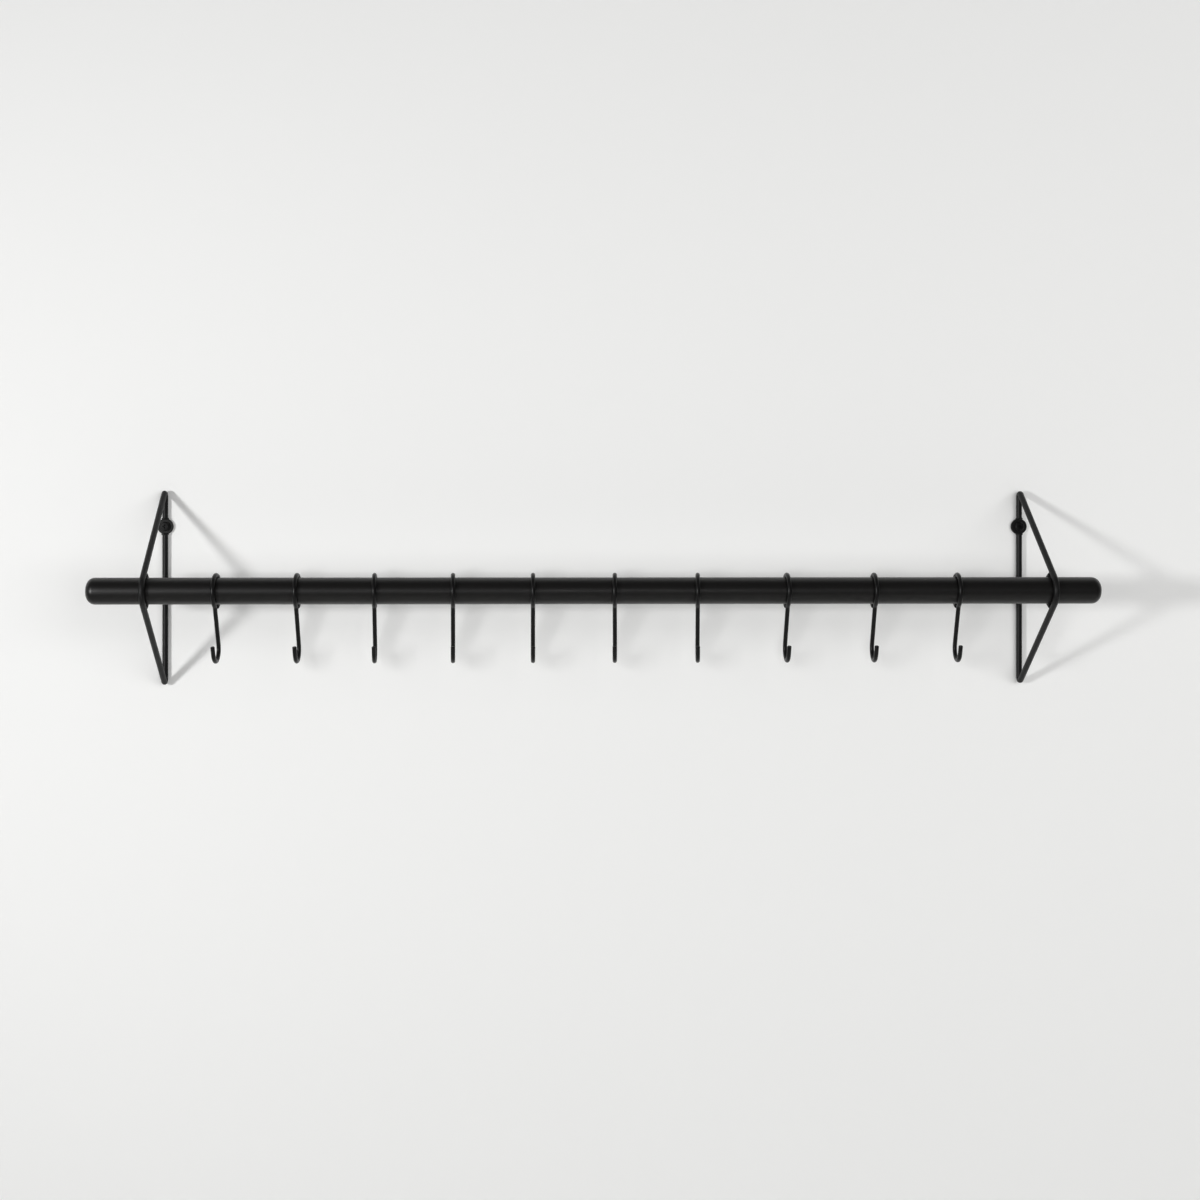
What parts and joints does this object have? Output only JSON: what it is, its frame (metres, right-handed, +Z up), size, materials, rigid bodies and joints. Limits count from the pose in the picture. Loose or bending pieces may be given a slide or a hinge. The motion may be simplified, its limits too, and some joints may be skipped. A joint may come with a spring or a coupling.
{
  "type": "wall coat rack",
  "caption": "Wall coat rack: a round black wooden rail in two triangular wire brackets, with wire hooks that slide along it.",
  "frame": {"origin": "on the wall's face, midway between the two wall screws", "axes": "+X runs right along the rail as seen from the room, +Y goes into the wall, +Z is up"},
  "size_m": [0.942, 0.1502, 0.19],
  "materials": {
    "black_wood": "satin",
    "black_bracket_steel": "satin",
    "black_hook_wire": "satin",
    "black_screw": "satin"
  },
  "bodies": {
    "rack": {"rail": "black_wood", "bracket_wire_left": "black_bracket_steel", "rail_retainer_left": "black_bracket_steel", "screw_plate_left": "black_bracket_steel", "wall_screw_left": "black_screw", "bracket_wire_right": "black_bracket_steel", "rail_retainer_right": "black_bracket_steel", "screw_plate_right": "black_bracket_steel", "wall_screw_right": "black_screw"},
    "hook_01": {"hook_01": "black_hook_wire"},
    "hook_02": {"hook_02": "black_hook_wire"},
    "hook_03": {"hook_03": "black_hook_wire"},
    "hook_04": {"hook_04": "black_hook_wire"},
    "hook_05": {"hook_05": "black_hook_wire"},
    "hook_06": {"hook_06": "black_hook_wire"},
    "hook_07": {"hook_07": "black_hook_wire"},
    "hook_08": {"hook_08": "black_hook_wire"},
    "hook_09": {"hook_09": "black_hook_wire"},
    "hook_10": {"hook_10": "black_hook_wire"}
  },
  "joints": [
    {"name": "hook_01_slide", "type": "slide", "parent": "rack", "child": "hook_01", "axis": [1, 0, 0], "range_m": [-0.058, 0.032]},
    {"name": "hook_02_slide", "type": "slide", "parent": "rack", "child": "hook_02", "axis": [1, 0, 0], "range_m": [-0.032, 0.031]},
    {"name": "hook_03_slide", "type": "slide", "parent": "rack", "child": "hook_03", "axis": [1, 0, 0], "range_m": [-0.031, 0.032]},
    {"name": "hook_04_slide", "type": "slide", "parent": "rack", "child": "hook_04", "axis": [1, 0, 0], "range_m": [-0.032, 0.033]},
    {"name": "hook_05_slide", "type": "slide", "parent": "rack", "child": "hook_05", "axis": [1, 0, 0], "range_m": [-0.033, 0.033]},
    {"name": "hook_06_slide", "type": "slide", "parent": "rack", "child": "hook_06", "axis": [1, 0, 0], "range_m": [-0.033, 0.034]},
    {"name": "hook_07_slide", "type": "slide", "parent": "rack", "child": "hook_07", "axis": [1, 0, 0], "range_m": [-0.034, 0.038]},
    {"name": "hook_08_slide", "type": "slide", "parent": "rack", "child": "hook_08", "axis": [1, 0, 0], "range_m": [-0.038, 0.037]},
    {"name": "hook_09_slide", "type": "slide", "parent": "rack", "child": "hook_09", "axis": [1, 0, 0], "range_m": [-0.037, 0.034]},
    {"name": "hook_10_slide", "type": "slide", "parent": "rack", "child": "hook_10", "axis": [1, 0, 0], "range_m": [-0.034, 0.081]}
  ]
}
